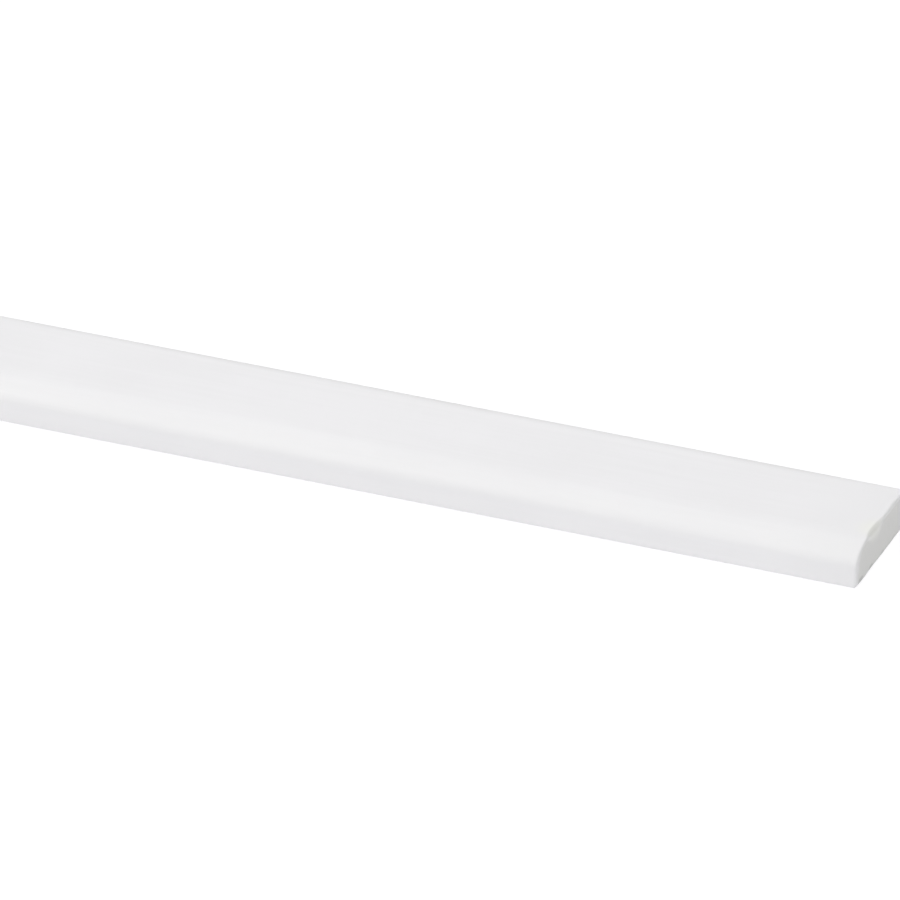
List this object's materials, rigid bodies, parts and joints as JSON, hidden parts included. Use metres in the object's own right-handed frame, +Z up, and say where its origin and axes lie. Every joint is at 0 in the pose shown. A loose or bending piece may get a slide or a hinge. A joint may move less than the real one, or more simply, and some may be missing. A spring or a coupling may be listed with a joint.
{
  "type": "cover strip",
  "caption": "Flat white moulding with a rounded front edge and square-cut ends, fixed over a joint or gap as trim.",
  "frame": {"origin": "centre of the flat underside, halfway along the strip", "axes": "+X along the strip, towards the cut end that the picture shows; +Y from the rounded front edge to the back edge; +Z up, out of the top face"},
  "size_m": [0.2, 0.028, 0.008],
  "materials": {
    "white_paint": "white satin paint on planed wood, on every side and on the cut ends"
  },
  "bodies": {
    "root": {"cover_strip": "white_paint"}
  },
  "joints": []
}
